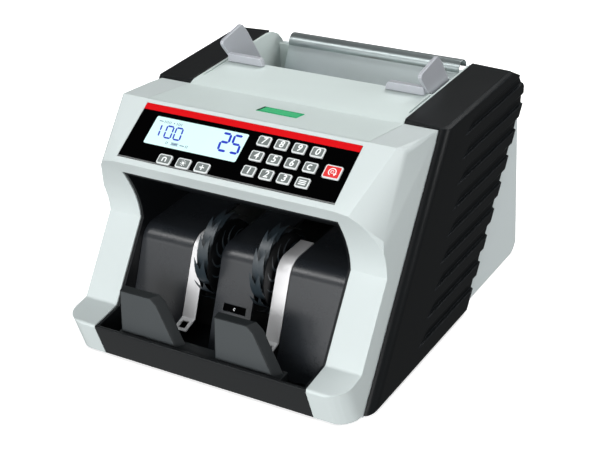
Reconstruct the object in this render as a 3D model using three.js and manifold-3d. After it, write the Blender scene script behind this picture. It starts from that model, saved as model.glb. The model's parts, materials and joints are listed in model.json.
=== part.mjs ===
// A desktop banknote counting machine, in millimetres: +X to the operator's right, +Y to the back, +Z up.
// Outlines are written with y = 0 at the foot of the front lip and z = 0 on the table; at the end
// the whole machine is moved so that its origin is on the table, under the middle of its footprint.

import * as THREE from 'three';
import { mergeVertices } from 'three/addons/utils/BufferGeometryUtils.js';
import { ConvexGeometry } from 'three/addons/geometries/ConvexGeometry.js';
import Module from 'manifold-3d';

const wasm = await Module();
wasm.setup();

// ---------------------------------------------------------------- driving dimensions

const GAP = 0.3;                  // clearance between neighbouring pieces
const WALL = 2.6;                 // moulded wall
const SHEET = 2.5;                // moulded sheet of the hopper and the stacker
const HALF = 135;                 // half width of the silver shells
const PROUD = 7.5;                // how far the black side covers stand out
const MOUTH = 102.7;              // half width of the stacker opening
const CEILING = 152;              // height of the stacker opening's top edge
const FRAME_BOTTOM = 3.3;
const WAIST = [68.3, 101.6];      // where the cheek meets the underside of the head
const HEAD_LIP = [44.06, 165.5];  // lower front edge of the head
const SHOULDER_FRONT = [99.5, 198.7];
const SHOULDER_BACK = [159.5, 188.7];
const FOOT_FRONT = [-8.7, 36];    // top front edge of the feet and the lip
const FRONT_LEAN = -0.297;        // y per z of their front faces
const SEAM_BOTTOM = [21.6, 3];    // the straight seam between silver frame and black cover
const BACK = 317;

const PANEL_ORIGIN = new THREE.Vector3(0, 49.2, 168.6);
const PANEL_ANGLE = THREE.MathUtils.degToRad(31);
const PANEL_LENGTH = 54.4;        // of the black fascia, up the slope
const PANEL_HALF = 102.4;
const PANEL_THICK = 1.2;
const KEY_TRAVEL = 0.7;

const WHEEL = { y: 80.5, z: 76, radius: 39.5, hub: 15, bore: 4.3, width: 12, offset: 27, blades: 12 };
const BED_RADIUS = 18.2;          // the stacker bed's hump, round the wheel shaft
const BED_LEAN = Math.atan(0.456);
const SHAFT = 4;
const FEED = { y: 228, z: 104, radius: 20 };
const PICKUP = { y: 218, z: 148, radius: 14 };
const MOTOR = { y: 160, z: 40, radius: 22 };
const SEPARATOR = { y: 258.1, z: 98.7, radius: 10 };
const SIDE_PLATE = [106, 107.5];
const BELT_X = [111.4, 118.6];
const TEETH_RADIUS = { wheel: 20, feed: 18, motor: 8, pickup: 9 };

const RIB_COUNT = 9;
const RIB_PITCH = 19.05;
const RIB_TOP = 171;
const RIB_DEPTH = 2.6;
const RIB_HEIGHT = 9.2;           // of the proud band between two grooves

// ---------------------------------------------------------------- shaping helpers

const X = new THREE.Vector3(1, 0, 0);
const Y = new THREE.Vector3(0, 1, 0);
const Z = new THREE.Vector3(0, 0, 1);

function solid(geometry) {
  const bare = geometry.clone();
  bare.deleteAttribute('normal');
  bare.deleteAttribute('uv');
  const merged = mergeVertices(bare, 1e-3);
  return new wasm.Manifold(new wasm.Mesh({
    numProp: 3,
    vertProperties: new Float32Array(merged.attributes.position.array),
    triVerts: new Uint32Array(merged.index.array),
  }));
}

function geometryOf(body) {
  const mesh = body.getMesh();
  const geometry = new THREE.BufferGeometry();
  geometry.setAttribute('position', new THREE.BufferAttribute(mesh.vertProperties, 3));
  geometry.setIndex(new THREE.BufferAttribute(mesh.triVerts, 1));
  return geometry;
}

const join = (first, ...others) => others.reduce((sum, next) => sum.add(next), first);
const cut = (first, ...others) => others.reduce((rest, next) => rest.subtract(next), first);

function extruded(outline, depth, holes = []) {
  const shape = new THREE.Shape(outline.map(([a, b]) => new THREE.Vector2(a, b)));
  shape.holes = holes.map((hole) => new THREE.Path(hole.map(([a, b]) => new THREE.Vector2(a, b))));
  return new THREE.ExtrudeGeometry(shape, { depth, bevelEnabled: false });
}

// An outline of [y, z] points made into a prism along X.
function alongX(outline, from, to, holes = []) {
  const geometry = extruded(outline, Math.abs(to - from), holes);
  geometry.applyMatrix4(new THREE.Matrix4().makeBasis(Y, Z, X));
  return solid(geometry.translate(Math.min(from, to), 0, 0));
}

// An outline of [x, z] points made into a prism along Y.
function alongY(outline, from, to) {
  const geometry = extruded(outline, to - from);
  geometry.applyMatrix4(new THREE.Matrix4().makeBasis(X, Z, Y.clone().negate()));
  return solid(geometry.translate(0, to, 0));
}

// An outline of [x, y] points made into a prism along Z.
function alongZ(outline, from, to, holes = []) {
  return solid(extruded(outline, to - from, holes).translate(0, 0, from));
}

const rectangle = (a0, a1, b0, b1) => [[a0, b0], [a1, b0], [a1, b1], [a0, b1]];

function block(x0, x1, y0, y1, z0, z1) {
  return alongZ(rectangle(Math.min(x0, x1), Math.max(x0, x1), y0, y1), z0, z1);
}

function hull(points) {
  return solid(new ConvexGeometry(points.map((point) => new THREE.Vector3(...point))));
}

// A round body along X from a profile of [radius, x] points that starts and ends on the axis, or closes.
function turned(profile, y, z, segments = 28) {
  const points = profile.map(([radius, along]) => new THREE.Vector2(radius, along));
  const geometry = new THREE.LatheGeometry(points, segments);
  geometry.rotateZ(-Math.PI / 2);
  return solid(geometry.translate(0, y, z));
}

function rod(radius, from, to, y, z, segments = 28) {
  return turned([[0, from], [radius, from], [radius, to], [0, to]], y, z, segments);
}

function ring(outer, inner, from, to, y, z, segments = 28) {
  return turned([[inner, from], [outer, from], [outer, to], [inner, to], [inner, from]], y, z, segments);
}

function circle(a, b, radius, count = 24) {
  const turn = (index) => (2 * Math.PI * index) / count;
  return Array.from({ length: count }, (_, i) => [a + radius * Math.cos(turn(i)), b + radius * Math.sin(turn(i))]);
}

// Corners of [a, b, radius] turned into an outline with round corners.
function rounded(corners, steps = 4) {
  const outline = [];
  corners.forEach(([a, b, radius = 0], index) => {
    const corner = new THREE.Vector2(a, b);
    if (radius === 0) {
      outline.push([a, b]);
      return;
    }
    const before = new THREE.Vector2(...corners.at(index - 1)).sub(corner).normalize();
    const after = new THREE.Vector2(...corners[(index + 1) % corners.length]).sub(corner).normalize();
    const half = Math.acos(before.dot(after)) / 2;
    const middle = before.clone().add(after).normalize();
    const centre = corner.clone().addScaledVector(middle, radius / Math.sin(half));
    const start = corner.clone().addScaledVector(before, radius / Math.tan(half)).sub(centre);
    const turn = Math.sign(before.cross(after)) * -1 * (Math.PI - 2 * half);
    for (let step = 0; step <= steps; step += 1) {
      const spoke = start.clone().rotateAround(new THREE.Vector2(), (turn * step) / steps).add(centre);
      outline.push([spoke.x, spoke.y]);
    }
  });
  return outline;
}

const roundedRectangle = (a0, a1, b0, b1, radius, steps = 3) =>
  rounded(rectangle(a0, a1, b0, b1).map(([a, b]) => [a, b, radius]), steps);

// An outline moved inwards, each edge by its own distance; a negative distance moves it out.
function inset(outline, distances) {
  const count = outline.length;
  const distance = (edge) => (Array.isArray(distances) ? distances[edge] : distances);
  const inwards = THREE.ShapeUtils.area(outline.map(([x, y]) => ({ x, y }))) > 0 ? 1 : -1;
  const edges = outline.map((point, index) => {
    const from = new THREE.Vector2(...point);
    const along = new THREE.Vector2(...outline[(index + 1) % count]).sub(from).normalize();
    const normal = new THREE.Vector2(-along.y, along.x).multiplyScalar(inwards);
    return { from: from.addScaledVector(normal, distance(index)), along, normal };
  });
  return edges.map((edge, index) => {
    const last = edges.at(index - 1);
    const bend = last.along.cross(edge.along);
    if (Math.abs(bend) < 1e-3) {
      return [edge.from.x, edge.from.y];
    }
    const reach = edge.from.clone().sub(last.from).cross(edge.along) / bend;
    return [last.from.x + last.along.x * reach, last.from.y + last.along.y * reach];
  });
}

// A bent sheet: the path is its face, and the material lies to the right of it, looking along the path.
function sheet(path, thickness) {
  const points = path.map((point) => new THREE.Vector2(...point));
  const rightOf = (from, to) => {
    const along = to.clone().sub(from).normalize();
    return new THREE.Vector2(along.y, -along.x);
  };
  const back = points.map((point, index) => {
    const sides = [];
    if (index > 0) {
      sides.push(rightOf(points[index - 1], point));
    }
    if (index < points.length - 1) {
      sides.push(rightOf(point, points[index + 1]));
    }
    const mitre = sides.reduce((sum, side) => sum.add(side), new THREE.Vector2()).normalize();
    return point.clone().addScaledVector(mitre, thickness / mitre.dot(sides[0]));
  });
  return [...path, ...back.reverse().map((point) => point.toArray())];
}

function arc(y, z, radius, from, to, steps) {
  return Array.from({ length: steps + 1 }, (_, step) => {
    const angle = THREE.MathUtils.degToRad(from + ((to - from) * step) / steps);
    return [y + radius * Math.cos(angle), z + radius * Math.sin(angle)];
  });
}

const onBothSides = (make) => [make(-1), make(1)];

// The y of the seam between the front frame and the black cover at a height.
const seamAt = (z) => SEAM_BOTTOM[0]
  + ((z - SEAM_BOTTOM[1]) * (SHOULDER_BACK[0] - SEAM_BOTTOM[0])) / (SHOULDER_BACK[1] - SEAM_BOTTOM[1]);

// ---------------------------------------------------------------- the assembly

const machine = new THREE.Group();

function place(parent, name, body, color, roughness, metalness = 0) {
  const material = new THREE.MeshStandardMaterial({ color, roughness, metalness });
  const mesh = new THREE.Mesh(geometryOf(body), material);
  mesh.name = name;
  parent.add(mesh);
}

const add = (name, body, ...finish) => place(machine, name, body, ...finish);

const SILVER = [0xe2e6e6, 0.38];
const PALE = [0xb9c6c2, 0.42];
const BLACK = [0x1b1d1f, 0.45];
const SLATE = [0x3b4042, 0.5];
const STEEL = [0xc9ccd0, 0.3, 1];
const GALVANISED = [0xa8adb0, 0.45, 1];
const RUBBER = [0x202020, 0.85];

// ---------------------------------------------------------------- front frame

function frameCorners() {
  const underside = new THREE.QuadraticBezierCurve(
    new THREE.Vector2(...WAIST),
    new THREE.Vector2(70, 126.5),
    new THREE.Vector2(...HEAD_LIP),
  );
  return [
    [1, FRAME_BOTTOM, 1.5],
    [...FOOT_FRONT, 2.5],
    [22.5, 39.5, 4],
    ...underside.getPoints(8).map((point) => point.toArray()),
    SHOULDER_FRONT,
    SHOULDER_BACK,
    SEAM_BOTTOM,
  ];
}

// The outer form of the head: its side walls turn in towards the front in a soft, faceted cheek.
function headForm(shrink) {
  const rightSide = [
    [130, ...SHOULDER_FRONT], [133.4, 103, 196.4], [135, 107.9, 190.9], [135, 130, 190.2],
    [134, 159.5, 188.9], [135, 165, 189], [135, 165, 95], [135, 63, 95],
    [135, 64.5, 136.6], [133.3, 65.3, 122.6], [129.8, 59.6, 138.2], [126.8, 55, 147.5],
    [122.8, 50.5, 155.5], [116, 45.8, 163], [104, ...HEAD_LIP],
  ];
  return hull(rightSide.flatMap(([x, y, z]) => [[x - shrink, y, z], [shrink - x, y, z]]));
}

// A rounded footprint that leans back towards the table as the front of the feet does.
function plan(half, front, radius) {
  const outline = rounded([[-half, 350], [-half, front, radius], [half, front, radius], [half, 350]], 6);
  const geometry = extruded(outline, 260).translate(0, 0, -46);
  geometry.applyMatrix4(new THREE.Matrix4().makeShear(0, 0, 0, 0, 0, FRONT_LEAN));
  return solid(geometry.translate(0, 0, 36));
}

function frontFrame() {
  const corners = frameCorners();
  const sharp = corners.map(([y, z]) => [y, z]);
  const walls = sharp.map(() => WALL);
  walls[sharp.length - 2] = -8;
  const inner = inset(sharp, walls);
  const low = block(-HALF, HALF, -20, 100, 0, WAIST[1]);
  const outer = alongX(rounded(corners), -HALF, HALF);
  const form = join(outer.intersect(headForm(0)), outer.intersect(low)).intersect(plan(HALF, FOOT_FRONT[0], 18));

  const partition = MOUTH + WALL;
  const headFloor = CEILING + 3;
  const cheeks = onBothSides((side) => alongX(inner, side * partition, side * (HALF - WALL)));
  const head = alongX(inner, -partition - 1, partition + 1).intersect(block(-HALF, HALF, 0, 250, headFloor, 250));
  const hollow = join(...cheeks, head);
  const hollowForm = join(hollow.intersect(headForm(3.5)), hollow.intersect(low));
  const cavity = hollowForm.intersect(plan(HALF - WALL, FOOT_FRONT[0] + WALL, 18 - WALL));

  return cut(
    form,
    cavity,
    block(-MOUTH, MOUTH, -20, 200, 0, CEILING),
    block(-105, 105, SHOULDER_FRONT[0] + 0.2, 200, 170, 220),
    inPanel(block(-PANEL_HALF - GAP, PANEL_HALF + GAP, -GAP, PANEL_LENGTH + GAP, -1.5, 5)),
    inPanel(block(-99, 99, 0.1, 52.2, -6, 1)),
    rod(SHAFT + 0.6, -110, 110, WHEEL.y, WHEEL.z),
  );
}

// ---------------------------------------------------------------- control panel

const panel = new THREE.Group();
panel.position.copy(PANEL_ORIGIN);
panel.rotation.x = PANEL_ANGLE;
machine.add(panel);

function inPanel(body) {
  const geometry = geometryOf(body);
  geometry.rotateX(PANEL_ANGLE);
  return solid(geometry.translate(...PANEL_ORIGIN.toArray()));
}

const LCD = { x0: -85.5, x1: 4.3, s0: 17, s1: 43.7 };
const KEY_SIZE = [11.8, 9.2];
const FUNCTION_KEY_SIZE = [13, 9.2];
const RESET_KEY_SIZE = [15, 12];
const KEY_COLUMNS = [20.1, 36.4, 52.6, 69.1];
const KEY_ROWS = [40.6, 26.2, 11.8];
const FUNCTION_COLUMNS = [-57.5, -39.1, -20.9];
const FUNCTION_ROW = 5.5;
const KEY_NAMES = [['7', '8', '9', '0'], ['4', '5', '6', 'clear'], ['1', '2', '3', 'batch']];

function keyList() {
  const keys = [];
  KEY_NAMES.forEach((row, rowIndex) => row.forEach((label, column) => {
    keys.push({ name: `key_${label}`, x: KEY_COLUMNS[column], s: KEY_ROWS[rowIndex], size: KEY_SIZE });
  }));
  FUNCTION_COLUMNS.forEach((x, index) => {
    keys.push({ name: `key_function_${index + 1}`, x, s: FUNCTION_ROW, size: FUNCTION_KEY_SIZE });
  });
  keys.push({ name: 'key_reset', x: 88.9, s: 26.2, size: RESET_KEY_SIZE });
  return keys;
}

const footprint = ({ x, s, size: [width, height] }, grow) =>
  [x - width / 2 - grow, x + width / 2 + grow, s - height / 2 - grow, s + height / 2 + grow];

function fascia() {
  const keyHoles = keyList().map((key) => block(...footprint(key, 0.35), -5, 5));
  const window = block(LCD.x0, LCD.x1, LCD.s0, LCD.s1, -5, 5);
  return cut(block(-PANEL_HALF, PANEL_HALF, 0, PANEL_LENGTH, -PANEL_THICK, 0), window, ...keyHoles);
}

function displayModule() {
  const board = block(-94, 94, 1, 51.5, -7, -5.4);
  const glass = block(LCD.x0 + GAP, LCD.x1 - GAP, LCD.s0 + GAP, LCD.s1 - GAP, -6, -0.3);
  return join(board, glass);
}

function keyCap(key) {
  return alongZ(roundedRectangle(...footprint(key, 0), 1.8, 2), -4.2, 0.9);
}

place(panel, 'control_panel', fascia(), 0x0b0b0c, 0.25);
place(panel, 'display_module', displayModule(), 0xd8fbff, 0.2);
keyList().forEach((key) => place(panel, key.name, keyCap(key), key.name === 'key_reset' ? 0xe0403c : 0x7d8482, 0.5));

add('front_frame', frontFrame(), ...SILVER);

// ---------------------------------------------------------------- hopper cover, badge and back plate

const BED = { foot: [158.4, 188.88], front: [164.2, 191.2], back: [216, 191.2], edge: 104 };
const BED_SLOT = { inner: 100.1, outer: 101.7, front: 175.4, floor: 188.8 };
const PIT = { foot: [238, 128], wall: [101.8, 104], back: 300 };
const BADGE = { x0: -12.5, x1: 26.5, y0: 121.8, depth: 14.5 };

// The narrow slots along the bed's two edges.
function bedSlot(side) {
  const { inner, outer, front, floor } = BED_SLOT;
  return block(side * inner, side * outer, front, BED.back[0] - 1.5, floor, 195);
}

function slotFloor(side) {
  const { inner, outer, front, floor } = BED_SLOT;
  return block(side * (inner - 2), side * (outer + 2), front - 2, BED.back[0], floor - 2, floor + 0.2);
}

function pitSide(side) {
  const [inner, outer] = PIT.wall;
  const outline = [
    PIT.foot, [216, 186], BED.back, [282, 191.2], [291, 189.6], [299, 185.2], [306, 177.4], [308.2, 170], [303, 122],
  ];
  const post = block(side * 90, side * outer, PIT.back, PIT.back + SHEET, 122, 175);
  return join(alongX(outline, side * inner, side * outer), post);
}

function topCover() {
  const shoulder = sheet([[SHOULDER_FRONT[0] + 1, 198.5], [159.7, 188.7], [161, 189.5]], SHEET);
  const bed = sheet([BED.foot, BED.front, BED.back, PIT.foot], SHEET);
  const rollerSlots = onBothSides((side) => block(side * 21, side * 41, 200, 240, 133, 163));
  const badgeRecess = inShoulder(block(BADGE.x0 - GAP, BADGE.x1 + GAP, -GAP, BADGE.depth + GAP, -1.2, 3));
  return cut(
    join(
      alongX(shoulder, -104.7, 104.7).intersect(block(-105, 105, 0, 160, 0, 250)),
      alongX(bed, -BED.edge, BED.edge),
      ...onBothSides(slotFloor),
      ...onBothSides(pitSide),
    ),
    ...onBothSides(bedSlot),
    ...rollerSlots,
    badgeRecess,
  );
}

const shoulderAngle = Math.atan2(SHOULDER_BACK[1] - SHOULDER_FRONT[1], SHOULDER_BACK[0] - SHOULDER_FRONT[0]);
const badgeOrigin = [0, BADGE.y0, 198.6 + (BADGE.y0 - 100) * Math.tan(shoulderAngle)];

function inShoulder(body) {
  const geometry = geometryOf(body);
  geometry.rotateX(shoulderAngle);
  return solid(geometry.translate(...badgeOrigin));
}

function backPlate() {
  const roll = arc(303, 178.6, 8.2, 190, -5, 9);
  return alongX(sheet([[262, 122], ...roll], 1.2), -87.7, 87.7);
}

add('top_cover', topCover(), ...PALE);
add('badge', inShoulder(block(BADGE.x0, BADGE.x1, 0, BADGE.depth, -0.9, 0.1)), 0x3cc878, 0.3);
add('hopper_back_plate', backPlate(), ...STEEL);

// ---------------------------------------------------------------- black side covers

const ribFront = new THREE.QuadraticBezierCurve(
  new THREE.Vector2(103, RIB_TOP - 8 * RIB_PITCH),
  new THREE.Vector2(174, 110),
  new THREE.Vector2(193, RIB_TOP),
);

function ribStart(z) {
  const points = ribFront.getPoints(40);
  return points.reduce((near, point) => (Math.abs(point.y - z) < Math.abs(near.y - z) ? point : near)).x;
}

// A groove between two ribs: square at its lower edge, eased at its upper one, pointed at its front.
function ribGroove(side, index) {
  const low = RIB_TOP - index * RIB_PITCH;
  const high = low + RIB_PITCH - RIB_HEIGHT;
  const outer = HALF + PROUD;
  const start = ribStart(low);
  const section = (y) => [
    [outer + 1, y, low], [outer - RIB_DEPTH, y, low + 0.5], [outer - RIB_DEPTH, y, high - 3.5], [outer, y, high],
    [outer + 1, y, high],
  ];
  const tip = [[outer, start, low + 0.3], [outer + 1, start, low], [outer + 1, start, low + 1]];
  return hull([...tip, ...section(start + 18), ...section(330)].map(([x, y, z]) => [side * x, y, z]));
}

function sideCover(side) {
  const base = HALF + GAP;
  const low = 2.4;
  const top = 189.6;
  const outline = [
    [seamAt(low) + 0.6, low], [seamAt(top) + 0.6, top], [290, top], [305.5, 181],
    [313.5, 168], [311, 152], [207.5, 17.6], [195, low],
  ];
  const layers = [0, 15, 30, 45, 60, 75, 90].map(THREE.MathUtils.degToRad).flatMap((angle) => {
    const pull = 1 - Math.cos(angle);
    const x = base + (PROUD - GAP) * Math.sin(angle);
    const distances = outline.map((_, edge) => (edge === 0 ? 9 : 1.6) * pull);
    return inset(outline, distances).map(([y, z]) => [side * x, y, z]);
  });
  const flange = [
    [104.3, 162.4, 192], [104.3, 160.6, 189.4], [104.3, 160.6, 186.4], [104.3, 288, 192], [104.3, 288, 186.4],
    [137, 161.6, 189.6], [137, 161.2, 188.6], [137, 161.2, 187], [139, 168, 189.6], [139, 168, 187],
    [139, 290, 189.6], [139, 290, 187],
  ];
  const pocket = inset(outline, 3.4).flatMap(([y, z]) => [[side * (base - 1), y, z], [side * (base + 2.2), y, z]]);
  const grooves = Array.from({ length: RIB_COUNT }, (_, index) => ribGroove(side, index));
  const flangeBody = hull(flange.map(([x, y, z]) => [side * x, y, z]));
  return cut(join(cut(hull(layers), hull(pocket)), flangeBody), ...grooves);
}

add('side_cover_left', sideCover(-1), ...BLACK);
add('side_cover_right', sideCover(1), ...BLACK);

// ---------------------------------------------------------------- rear housing, base and feet

const INLET = { x0: -114, x1: -86, z0: 16, z1: 36 };
const SWITCH = { x: -100, z: 51.3, half: 6, height: 9.3 };
const GAP_SCREW_Y = 309;

function rearCover() {
  const low = 1;
  const corners = [
    [seamAt(low) + 1.2, low], [seamAt(180) + 1.2, 180], [290, 180],
    [298, 172], [BACK, 172, 4], [BACK, low, 14],
  ];
  const sharp = corners.map(([y, z]) => [y, z]);
  const inner = inset(sharp, [-8, WALL, WALL, WALL, WALL, -8]);
  const backPlan = (half, back, radius) =>
    alongZ(rounded([[-half, 0], [half, 0], [half, back, radius], [-half, back, radius]]), -10, 250);
  const outer = alongX(rounded(corners), -HALF, HALF).intersect(backPlan(HALF, BACK, 1.8));
  const hollow = alongX(inner, WALL - HALF, HALF - WALL);
  const vents = [0, 1, 2, 3, 4, 5].map((index) => block(25, 95, 300, 330, 60 + index * 9, 64 + index * 9));
  return cut(
    outer,
    hollow,
    block(-106, 106, 90, 299, 160, 190),
    ...onBothSides((side) => block(side * 88.6, side * 106, 290, 310, 160, 190)),
    block(INLET.x0, INLET.x1, 300, 330, INLET.z0, INLET.z1),
    block(SWITCH.x - SWITCH.half - 0.4, SWITCH.x + SWITCH.half + 0.4, 300, 330,
      SWITCH.z - SWITCH.height, SWITCH.z + SWITCH.height),
    alongZ(circle(0, GAP_SCREW_Y, 2.7), 160, 180),
    ...vents,
  );
}

function basePan() {
  const pan = alongZ([
    [-132, 24], [-103.2, 24], [-103.2, 73], [103.2, 73], [103.2, 24], [132, 24], [132, 309], [-132, 309],
  ], 3.3, 4.8);
  const flanges = onBothSides((side) => block(side * 130.8, side * 132, 88, 309, 3.3, 14));
  const slots = [0, 1, 2, 3].map((index) => block(-30, 30, 180 + index * 14, 184 + index * 14, 0, 10));
  return cut(join(pan, ...flanges), ...slots);
}

function foot(x, y) {
  const geometry = new THREE.CylinderGeometry(7, 6.4, FRAME_BOTTOM - GAP, 20);
  geometry.rotateX(Math.PI / 2);
  return solid(geometry.translate(x, y, (FRAME_BOTTOM - GAP) / 2));
}

add('rear_cover', rearCover(), ...PALE);
add('base_pan', basePan(), ...GALVANISED);
add('foot_front_left', foot(-118, 12.5), ...RUBBER);
add('foot_front_right', foot(118, 12.5), ...RUBBER);
add('foot_rear_left', foot(-112, 290), ...RUBBER);
add('foot_rear_right', foot(112, 290), ...RUBBER);

// ---------------------------------------------------------------- stacker

const PANEL_EDGES = { left: [-99.6, -48.5], centre: [-18, 18], right: [48.5, 99.6] };
const FIN = { width: 56, top: 30.5, shoulder: 36.5, height: 70.5, base: 30, depth: 6.5, flare: 5.5 };

function stackerTray() {
  const corners = frameCorners();
  const sharp = corners.map(([y, z]) => [y, z]);
  const lining = inset(sharp, sharp.map((_, edge) => (edge === sharp.length - 2 ? -50 : 1)));
  const linings = onBothSides((side) => alongX(lining, side * 99.9, side * 102.4));
  const clearOfHead = block(-MOUTH, MOUTH, -20, 250, 5.5, CEILING - GAP);
  const lip = [[1, 4], [-8.7, 36, 1.2], [-5.2, 36, 1.2], [3.6, 7], [72, 7], [72, 4]];
  const walls = join(...linings).intersect(clearOfHead);
  return cut(
    join(alongX(rounded(lip, 3), -102.4, 102.4), walls),
    rod(SHAFT + 0.6, -110, 110, WHEEL.y, WHEEL.z),
  );
}

// One swept stop fin: a leaning plate with an upright left edge, a sloping right edge and a bevel round it.
function stopFin(left) {
  const { width, top, shoulder, height, base, depth, flare } = FIN;
  const leaning = (z) => ((z - base) / (height - base)) * 4.5 - 0.5;
  const face = [[0, base], [width, base], [shoulder, height - 4.8], [top, height], [0, height - 0.4]];
  const front = face.map(([x, z]) => [left + x, leaning(z), z]);
  const rear = face.map(([x, z]) => {
    const lift = z > base ? 1.2 : 0;
    return [left + x + (x > 0 ? flare : 0), leaning(z) + depth, z + lift];
  });
  return hull([...front, ...rear]);
}

function stackerStop() {
  const bar = alongX([[4.1, 7.3], [-3.5, 33], [9.5, 33], [9.5, 7.3]], -82, 76);
  return join(bar, stopFin(-80), stopFin(13.5));
}

function bedPath(start, end) {
  const tangent = 180 - THREE.MathUtils.radToDeg(BED_LEAN);
  const hump = arc(WHEEL.y, WHEEL.z, BED_RADIUS, tangent, 90, 7);
  const [footY, footZ] = hump[0];
  const low = [footY - (footZ - start) * Math.tan(BED_LEAN), start];
  return [low, ...hump, [end, WHEEL.z + BED_RADIUS]];
}

function guideStrip(side) {
  const path = bedPath(33, 104);
  const [bendY, bendZ] = path[0];
  const body = alongX(sheet([[bendY - 14, bendZ - 4], ...path], 1), side * 35, side * 47.7);
  const slotFront = side > 0 ? bendY - 20 : bendY - 11;
  return cut(body, block(side * 38.2, side * 44.5, slotFront, bendY - 3.5, 20, 36));
}

function upperGuidePlate() {
  const path = [[150, 106], ...rounded([[150, 106], [112, 106, 8], [112, 149, 8], [55, 149]], 4).slice(1)];
  return alongX(sheet(path, 2), -99.6, 99.6);
}

add('stacker_tray', stackerTray(), ...BLACK);
add('stacker_stop', stackerStop(), ...SLATE);
Object.entries(PANEL_EDGES).forEach(([where, [from, to]]) => {
  const panelBody = alongX(sheet(bedPath(8.4, 200), 2.2), from, to);
  const window = block(-9.6, 12.6, 44, 52, 45.7, 51.8);
  add(`stacker_bed_${where}`, where === 'centre' ? cut(panelBody, window) : panelBody, ...BLACK);
});
add('guide_strip_left', guideStrip(-1), ...STEEL);
add('guide_strip_right', guideStrip(1), ...STEEL);
add('upper_guide_plate', upperGuidePlate(), ...BLACK);

// ---------------------------------------------------------------- fan wheels and their shaft

// A fan wheel seen along its shaft: a hub with thin blades that sweep back as they go out.
function fanOutline() {
  const { y, z, radius, hub: hubRadius, blades } = WHEEL;
  const sweep = THREE.MathUtils.degToRad(78);
  const pitch = (2 * Math.PI) / blades;
  const steps = 6;
  const outline = [];
  for (let blade = 0; blade < blades; blade += 1) {
    const at = (t, side) => {
      const reach = hubRadius + (radius - hubRadius) * t;
      const half = (2.4 - 1.5 * t) / 2 / reach;
      const angle = blade * pitch - sweep * t ** 1.5 + side * half;
      return [y + reach * Math.cos(angle), z + reach * Math.sin(angle)];
    };
    for (let step = 0; step <= steps; step += 1) {
      outline.push(at(step / steps, -1));
    }
    for (let step = steps; step >= 0; step -= 1) {
      outline.push(at(step / steps, 1));
    }
  }
  return outline;
}

function fanWheel(side) {
  const from = side * WHEEL.offset - WHEEL.width / 2;
  return alongX(fanOutline(), from, from + WHEEL.width, [circle(WHEEL.y, WHEEL.z, WHEEL.bore, 20)]);
}

const pulley = (radius, [from, to], { y, z }) => ring(radius, SHAFT + GAP, from, to, y, z);

add('impeller_shaft', rod(SHAFT, -112, 121, WHEEL.y, WHEEL.z, 20), ...STEEL);
add('impeller_left', fanWheel(-1), 0x2c3a46, 0.25);
add('impeller_right', fanWheel(1), 0x2c3a46, 0.25);
add('impeller_pulley', pulley(TEETH_RADIUS.wheel, BELT_X, WHEEL), 0xd8d4c8, 0.5);

// ---------------------------------------------------------------- feed drive

const FEED_STEP_X = [BELT_X[1], BELT_X[1] + 8];

function feedDrum() {
  const land = 14;
  const { y, z, radius } = FEED;
  const profile = [
    [SHAFT + GAP, -44], [radius, -44], [radius, -14], [land, -14], [land, 14],
    [radius, 14], [radius, 44], [SHAFT + GAP, 44], [SHAFT + GAP, -44],
  ];
  return turned(profile, y, z, 32);
}

function pickupRollers() {
  const { y, z, radius } = PICKUP;
  const bore = 3.8;
  const profile = [
    [bore, -38], [radius, -38], [radius, -24], [7, -24], [7, 24],
    [radius, 24], [radius, 38], [bore, 38], [bore, -38],
  ];
  return turned(profile, y, z, 28);
}

function pickupShaft() {
  const { y, z } = PICKUP;
  return join(rod(3.5, -112, 128, y, z, 20), rod(TEETH_RADIUS.pickup, ...FEED_STEP_X, y, z, 24));
}

function feedPulley() {
  const { y, z } = FEED;
  const bore = SHAFT + GAP;
  const { feed, pickup } = TEETH_RADIUS;
  const [from, middle] = BELT_X;
  const to = FEED_STEP_X[1];
  return turned([[bore, from], [feed, from], [feed, middle], [pickup, middle], [pickup, to], [bore, to], [bore, from]], y, z);
}

function motorPulley() {
  const { y, z } = MOTOR;
  return join(rod(3, SIDE_PLATE[0] - GAP, BELT_X[1], y, z, 20), rod(TEETH_RADIUS.motor, ...BELT_X, y, z, 24));
}

function motorBody() {
  const { y, z, radius } = MOTOR;
  return join(rod(radius, 50, 105.4, y, z, 32), rod(8, 46, 52, y, z, 24));
}

// A flat belt round its pulleys.
function belt(pulleys, from, to) {
  const wrapped = (lift, x0, x1) => hull(pulleys.flatMap(([{ y, z }, radius]) =>
    circle(y, z, radius + lift).flatMap(([a, b]) => [[x0, a, b], [x1, a, b]])));
  return cut(wrapped(GAP + 1.4, from, to), wrapped(GAP, from - 1, to + 1));
}

function separatorRoller() {
  const { y, z, radius } = SEPARATOR;
  return join(rod(radius, -20, 20, y, z, 24), rod(3, -105.6, 105.6, y, z, 16));
}

add('feed_shaft', rod(SHAFT, -112, 128, FEED.y, FEED.z, 20), ...STEEL);
add('feed_drum', feedDrum(), 0x8c4a2e, 0.8);
add('feed_pulley', feedPulley(), 0xd8d4c8, 0.5);
add('pickup_shaft', pickupShaft(), ...STEEL);
add('pickup_rollers', pickupRollers(), 0x8c4a2e, 0.8);
add('separator_roller', separatorRoller(), 0x6b2f22, 0.8);
add('motor', motorBody(), 0x777b80, 0.4, 0.8);
add('motor_pulley', motorPulley(), 0xd8d4c8, 0.5);
add('drive_belt', belt([
  [WHEEL, TEETH_RADIUS.wheel], [MOTOR, TEETH_RADIUS.motor], [FEED, TEETH_RADIUS.feed],
], 111.9, 118.1), ...RUBBER);
add('pickup_belt', belt([
  [FEED, TEETH_RADIUS.pickup], [PICKUP, TEETH_RADIUS.pickup],
], FEED_STEP_X[0] + 1, FEED_STEP_X[1] - 1), ...RUBBER);

// ---------------------------------------------------------------- chassis and electrics

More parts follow.
